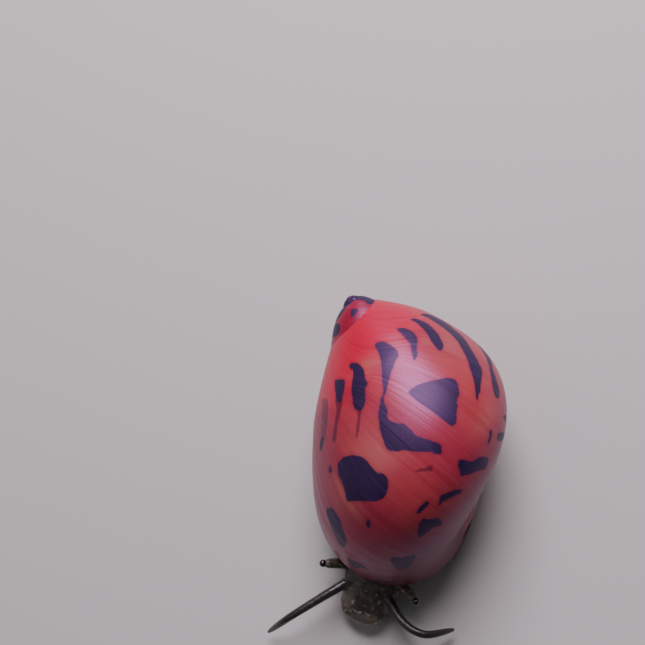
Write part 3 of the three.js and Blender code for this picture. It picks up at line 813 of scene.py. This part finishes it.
# The callus spans first to last degrees around a heart in the shell, and runs out over the last ones. It stays
# inset mm under the tight hull of shell and mouth, and leans in with the height. It dips into the coil.
CALLUS = dict(inset=0.2, lean=0.15, first=-50, last=115, step=1.25, fade=34, dip=0.12, run_out=0.08)
HEART = np.array([-0.6, 1.2])
FAR_OUT = 40


def surface_points(oldest, step, ring):
    """The coil's surface back to some degrees of turn, as a grid of points."""
    turn, around = np.radians(np.arange(oldest, 1, step)), np.linspace(0, 2 * np.pi, ring, endpoint=False)
    return shell_points(*np.meshgrid(turn, around, indexing="ij"))


def build_callus():
    """The callus that closes the notch between the mouth's inner side and the older coil."""
    # The tight hull of the newest coil and of the mouth's edge a little under it, as in the solids.
    skin = surface_points(-396, 9.9, 40).reshape(-1, 3)
    mouth = shell_points(0.0, np.linspace(0, 2 * np.pi, 40, endpoint=False))
    mouth[:, 2] = -1.5
    work = bmesh.new()
    for p in np.concatenate([skin, mouth]):
        work.verts.new(p)
    bmesh.ops.convex_hull(work, input=list(work.verts))
    bound = BVHTree.FromBMesh(work)
    newest = settle(surface_points(-NEWEST, 2.0, 144))
    coil = BVHTree.FromPolygons(newest.reshape(-1, 3).tolist(), grid_faces(len(newest), 144, True).tolist())

    def reach(tree, z, way):
        """How far a surface lies from the heart at this height."""
        far = Vector((*(HEART + FAR_OUT * way), z))
        hit = tree.ray_cast(far, Vector((*-way, 0)))[0]
        return FAR_OUT - (far - hit).length if hit else 0.0

    ways = np.radians(np.arange(CALLUS["first"], CALLUS["last"], CALLUS["step"]))
    heights = np.concatenate([[0.05, 0.12, 0.2, 0.3], np.linspace(0.4, 3.2, 29)])
    rows = []
    for z in heights:
        row = []
        for angle in ways:
            way = np.array([math.cos(angle), math.sin(angle)])
            filled = reach(bound, z, way) - CALLUS["inset"] - CALLUS["lean"] * z * z
            row.append(np.append(HEART + way * max(filled, reach(coil, z, way) - CALLUS["dip"]), z))
        rows.append(row)
    rows = np.array(rows)
    # The edge is rounded under towards the heart.
    in_row = rows[:1] - np.append(HEART, 0)
    under = [rows[:1] - in_row * [0.9, 0.9, 0] * k - [0, 0, 0.05 * min(k * 80, 1)] for k in (0.10, 0.05, 0.012)]
    rows = np.concatenate(under + [rows])
    runs_out = 1 - smooth_step(CALLUS["last"] - np.degrees(ways), CALLUS["step"], CALLUS["fade"])
    for j in np.flatnonzero(runs_out > 0):
        into = np.array([-math.cos(ways[j]), -math.sin(ways[j]), 1]) * CALLUS["run_out"]
        for row in rows:
            row[j] += runs_out[j] * (np.array(coil.find_nearest(row[j])[0]) + into - row[j])
    shape, none = rows.shape[:2], np.zeros(rows.shape[:2])
    return make_mesh(
        "callus_skin", place_shell(rows), grid_faces(*shape, False), along=np.broadcast_to(ways * 7.0, shape),
        around=rows[..., 2], mark=none + FAR, faint=none + FAR, height=none, low=none, pale=none, old=none,
        inside=np.clip(1 - rows[..., 2] / 0.8, 0, 1) * 0.6,
    )


coat = shell_material()
set_in_place(build_shell(), coat, "shell", "shell_body_whorl", "shell_spire")
set_in_place(build_callus(), coat, "shell", "shell_body_whorl")
set_in_place(build_tip(), coat, "shell", "shell_spire")

# ---- the shelf in the shell's mouth ----

# The ways across and along the mouth, in the shell's frame.
ACROSS = unit((TO_SHELL @ WIDE)[:2])
ALONG = np.array([-ACROSS[1], ACROSS[0]])
# Where the shelf's free edge lies across the mouth, its half thickness and middle height; its teeth and how
# far they spread; all in mm.
DECK = dict(edge=-2.6, half=0.42, middle=0.6, swell=0.1, teeth=11, tooth=0.42, spread=9.5)


def base_outline():
    """The outline of the whole shell just over the plane of its mouth, with the notch behind it closed."""
    p = surface_points(-NEWEST, 4, 120).reshape(-1, 3)
    low = p[np.abs(p[:, 2]) < 0.4][:, :2]
    return low[convex_hull_2d(low.tolist())]


def build_deck():
    f = Field((-8.2, -9.2, -0.2), (8.2, 11.6, 1.5), 0.11)
    edge = outline_distance(f.x, f.y, base_outline()) + 0.35
    across = f.x * ACROSS[0] + f.y * ACROSS[1]
    along = f.x * ALONG[0] + f.y * ALONG[1]
    swell = DECK["swell"] * np.clip(1 - (across - DECK["edge"]) ** 2 / 9, 0, 1)
    slab = np.abs(f.z - DECK["middle"]) - DECK["half"] - swell
    d = cut(cut(edge, across - DECK["edge"] + 0.1, 0.4), slab, 0.35)
    for i in range(DECK["teeth"]):
        s = (i / (DECK["teeth"] - 1) - 0.5) * DECK["spread"]
        size = DECK["tooth"] * (1 - 0.25 * abs(s / DECK["spread"]))
        tooth = np.sqrt((across - DECK["edge"] + 0.1) ** 2 * 0.8 + (along - s) ** 2 * 1.6 + (f.z - 0.55) ** 2)
        d = join(d, tooth - size, 0.12)
    points, faces = f.surface(d)
    return make_mesh("deck_skin", place_shell(points), faces)


def deck_material():
    n = Nodes("deck")
    cloud = n.noise(n.place(), 400, 3, 0.6)
    colour = n.mix(n.smooth(cloud, 0.3, 0.7), rgb(236, 224, 200), rgb(214, 176, 140))
    normal = n.bump(cloud, 0.05, 0.4)
    return n.finish(Base_Color=colour, Roughness=0.3, Normal=normal, Coat_Weight=0.4, Coat_Roughness=0.15)


set_in_place(build_deck(), deck_material(), "shell_deck", "shell_deck")

# ---- the soft body: one skin ----

# Sizes and places in mm. A feeler starts at x, y, z and bends as given for the right (-1) and the left (1).
FOOT = dict(length=19, width=10.2, height=1.2, middle=-0.9, taper=0.08, edge=3.6)
FEELER = dict(root=0.42, end=0.26, x=1.65, y=-10.9, z=2.3)
BEND = {
    -1: dict(spread=5.0, reach=6.4, bow=0.0, rise=0.8, drop=1.1),
    1: dict(spread=5.5, reach=0.6, bow=1.3, rise=0.75, drop=0.9),
}
STALK = dict(root=(2.0, -9.6, 2.15), radii=(0.46, 0.38, 0.24))
EYE = dict(place=(3.93, -10.31, 3.285), radius=0.3)
# The mantle stays clear of the mouth's edge and starts behind the shelf's edge; middle and half are its height.
MANTLE = dict(clear=1.0, behind=0.4, middle=1.3, half=1.3)
LID = dict(length=6.1, width=3.15, back=0.3, y=4.2, low=1.5, high=2.0, rim=0.2, heart=(-1.5, 0.8), rows=22)
# Middle, size and power of the lumps that are joined to one body.
LUMPS = dict(
    head=((0, -9.3, 1.95), (4.9, 6.6, 1.95), 0.85),
    snout=((0, -12.0, 1.5), (4.0, 3.6, 1.7), 0.8),
    upper_lip=((0, -13.45, 1.34), (2.3, 0.9, 0.68)),
    lower_lip=((0, -13.4, 0.66), (2.0, 0.8, 0.68)),
    slit=((0, -13.6, 1.0), (1.8, 1.3, 0.22)),
    neck=((0, -2.6, 3.5), (6.9, 9.3, 8.0), 0.95),
    stem=((0, -2.6, 3.5), (6.4, 8.6, 8.0), 0.95),
    lobe=((0, LID["y"] + 1.3, 1.16), (5.2, 2.7, 0.86), 0.7),
)


def feeler_spine(side):
    """The middle line of a feeler."""
    f, b = FEELER, BEND[side]
    spots = [(side * f["x"] * 0.7, f["y"] + 0.8, f["z"] - 0.2), (side * f["x"], f["y"], f["z"])]
    for share, up in ((0.3, b["rise"] * 0.8), (0.67, b["rise"]), (1.0, -b["drop"])):
        y = f["y"] - b["reach"] * share - b["bow"] * math.sin(math.pi * share)
        spots.append((side * (f["x"] + b["spread"] * share), y, f["z"] + up))
    return curve_through(spots, 26)


def eye_place(side):
    return np.array(EYE["place"]) * (side, 1, 1)


def build_flesh():
    f = Field((-7.4, -17.9, -0.2), (7.6, 9.6, 6.1), 0.1)
    lump = {name: f.lump(*shape) for name, shape in LUMPS.items()}
    along = (f.y - FOOT["middle"]) / (FOOT["length"] / 2)
    across = f.x / (FOOT["width"] / 2 * (1 - FOOT["taper"] * along))
    foot = np.sqrt(across ** 2 + along ** 2 + (np.maximum(f.z, 0) / FOOT["height"]) ** FOOT["edge"])
    foot = cut(f.even(foot), -f.z, 0.12)
    lips = np.minimum(lump["upper_lip"], lump["lower_lip"])
    face = cut(join(join(lump["head"], lump["snout"], 0.5), lips, 0.15), -lump["slit"], 0.08)

    # Places in the shell's frame, to fit the mantle into the mouth beside the shelf.
    shell = f.points() - np.array([*MOUTH_PLACE, MOUTH_HEIGHT])
    c, s = math.cos(SHELL_PITCH), math.sin(SHELL_PITCH)
    sx, sy, sz = shell[..., 0], c * shell[..., 1] - s * shell[..., 2], s * shell[..., 1] + c * shell[..., 2]
    across = sx * ACROSS[0] + sy * ACROSS[1]
    mouth = shell_points(0.0, np.radians(np.arange(0, 360, 3)))[:, :2]
    hidden = cut(
        outline_distance(sx, sy, mouth) + MANTLE["clear"], DECK["edge"] + MANTLE["behind"] - across, 1.3)
    mantle = cut(hidden, np.abs(sz - MANTLE["middle"]) - MANTLE["half"], 1.1)
    neck = cut(lump["neck"], sz + 0.25, 0.3)
    stem = cut(cut(lump["stem"], hidden + 0.5, 0.5), sz - 1.0, 0.3)

    d = join(join(foot, lump["lobe"], 0.4), neck, 0.7)
    d = join(d, join(mantle, stem, 0.6), 0.5)
    d = join(d, face, 0.6)
    arms = np.full(d.shape, 2.0, np.float32)
    for side in (-1, 1):
        spine = feeler_spine(side)
        share = np.linspace(0, 1, len(spine))
        radii = FEELER["end"] + (FEELER["root"] - FEELER["end"]) * (1 - share) ** 1.2 - 0.12 * share ** 12
        arms = np.minimum(arms, f.tube(spine, radii))
        root, eye = np.array(STALK["root"]) * (side, 1, 1), eye_place(side)
        d = join(d, f.tube([root, root + 0.8 * (eye - root), eye - 0.1 * (eye - root)], STALK["radii"]), 0.25)
    points, faces = f.surface(join(d, arms, 0.3))
    points[:, 2] = np.maximum(points[:, 2], 0)
    arm = np.clip(0.5 + (f.sample(d, points) - f.sample(arms, points)) / 0.8, 0, 1)
    return make_mesh("flesh_skin", points, faces, arm=arm)


def flesh_material():
    n = Nodes("flesh")
    place = n.place()
    cloud = n.noise(place, 700, 4, 0.6)
    fleck = n.noise(place, 3200, 3, 0.6)
    grain = n.noise(place, 9000, 2, 0.5)
    colour = n.mix(n.smooth(cloud, 0.35, 0.65), rgb(58, 52, 48), rgb(104, 94, 82))
    colour = n.mix(n.smooth(fleck, 0.56, 0.66, 0.0, 0.75), colour, rgb(176, 164, 142))
    colour = n.mix(n.number("arm"), colour, rgb(38, 33, 32))
    wrinkle = n.math("ADD", fleck, n.math("MULTIPLY", grain, 0.35))
    normal = n.bump(wrinkle, 0.10, 0.6)
    return n.finish(
        Base_Color=colour, Roughness=0.38, Normal=normal, Coat_Weight=0.35, Coat_Roughness=0.12,
        Subsurface_Weight=0.12, Subsurface_Scale=0.0006,
    )


set_in_place(
    build_flesh(), flesh_material(), "flesh",
    "foot", "foot_tail", "neck", "head", "snout", "mantle", "tentacle_right", "tentacle_tip_right",
    "tentacle_left", "tentacle_tip_left", "eyestalk_right", "eyestalk_left",
)


def build_lid():
    """The half-moon plate on the tail, its growth lines around a point near one end."""
    u = np.linspace(0, 2 * np.pi, 120, endpoint=False)
    x, bow = LID["length"] / 2 * np.cos(u), np.abs(np.sin(u))
    y = np.where(np.sin(u) > 0, LID["width"] * bow ** 0.85, -LID["back"] * bow)
    share = np.linspace(0, 1, LID["rows"]) ** 0.8
    rim = LID["low"] + LID["rim"]
    level = np.concatenate([rim + (LID["high"] - rim) * (1 - share ** 5) ** 0.5, 0 * share[1:] + LID["low"]])
    share = np.concatenate([share, share[-2::-1]])
    px = LID["heart"][0] + share[:, None] * (x - LID["heart"][0])
    py = LID["heart"][1] + share[:, None] * (y - LID["heart"][1]) + LID["y"]
    p = np.stack([px, py, np.broadcast_to(level[:, None], px.shape)], -1)
    share = np.broadcast_to(share[:, None], px.shape)
    return make_mesh("lid_skin", p, grid_faces(*share.shape, True)[:, ::-1], share=share)


def lid_material():
    n = Nodes("lid")
    cloud = n.noise(n.place(), 900, 3, 0.6)
    share = n.math("ADD", n.number("share"), n.math("MULTIPLY", cloud, 0.08))
    lines = n.math("SINE", n.math("MULTIPLY", share, 90.0))
    colour = n.mix(n.smooth(share, 0.3, 1.0), rgb(196, 160, 140), rgb(96, 60, 52))
    colour = n.mix(n.smooth(lines, 0.2, 1.0, 0.0, 0.4), colour, rgb(70, 44, 42))
    normal = n.bump(lines, 0.03, 0.5)
    return n.finish(Base_Color=colour, Roughness=0.42, Normal=normal, Coat_Weight=0.2, Coat_Roughness=0.2)


set_in_place(build_lid(), lid_material(), "operculum", "operculum")


def build_eye(side):
    return make_mesh("eye_skin", *ball(eye_place(side), EYE["radius"], 32, 17))


def eye_material():
    n = Nodes("eye")
    colour = n.mix(n.noise(n.place(), 2500, 2, 0.5), rgb(8, 8, 9), rgb(30, 24, 22))
    return n.finish(Base_Color=colour, Roughness=0.12, Coat_Weight=0.8, Coat_Roughness=0.04)


bead = eye_material()
set_in_place(build_eye(-1), bead, "eye", "eye_right")
set_in_place(build_eye(1), bead, "eye", "eye_left")

# ---- floor, light and camera ----


FLOOR = dict(reach=600, colour=(204, 200, 194), rough=0.7)
LIGHTS = dict(
    key=dict(place=(-38, 145, 170), target=(0, 2, 6), size=145, power=0.74, colour=(0.95, 0.86, 1.0)),
    fill=dict(place=(-150, -60, 180), target=(0, 0, 5), size=220, power=0.05, colour=(1.0, 0.95, 0.96)),
)
ROOM = dict(colour=(0.86, 0.90, 1.0, 1), strength=0.07)
CAMERA = dict(
    place=(13.48, 1.26, 88.27), back=(0.2738, -0.0728, 0.9590), up=(-0.3125, 0.9363, 0.1603),
    lens=60.38, sensor=36, clip=(0.005, 5),
)

corners = np.array([[-1, -1, 0], [1, -1, 0], [1, 1, 0], [-1, 1, 0]]) * FLOOR["reach"]
floor = make_mesh("floor", corners, [[0, 1, 2, 3]], smooth=False)
floor.data.materials.append(Nodes("floor").finish(Base_Color=rgb(*FLOOR["colour"]), Roughness=FLOOR["rough"]))


def area_light(name, place, target, size, power, colour):
    data = bpy.data.lights.new(name, "AREA")
    data.shape, data.size, data.energy, data.color = "DISK", size * MM, power, colour
    obj = bpy.data.objects.new(name, data)
    obj.location = Vector(place) * MM
    obj.rotation_mode = "QUATERNION"
    obj.rotation_quaternion = (Vector(target) - Vector(place)).to_track_quat("-Z", "Y")
    bpy.context.scene.collection.objects.link(obj)


for name, light in LIGHTS.items():
    area_light(name, **light)

world = bpy.data.worlds.new("room")
world.use_nodes = True
background = world.node_tree.nodes["Background"]
background.inputs["Color"].default_value = ROOM["colour"]
background.inputs["Strength"].default_value = ROOM["strength"]
bpy.context.scene.world = world

camera_data = bpy.data.cameras.new("camera")
camera = bpy.data.objects.new("camera", camera_data)
bpy.context.scene.collection.objects.link(camera)
back = Vector(CAMERA["back"]).normalized()
right = Vector(CAMERA["up"]).normalized().cross(back).normalized()
axes = Matrix((right, back.cross(right), back)).transposed()
camera.matrix_world = Matrix.Translation(Vector(CAMERA["place"]) * MM) @ axes.to_4x4()
camera_data.sensor_width, camera_data.lens = CAMERA["sensor"], CAMERA["lens"]
camera_data.clip_start, camera_data.clip_end = CAMERA["clip"]
bpy.context.scene.camera = camera
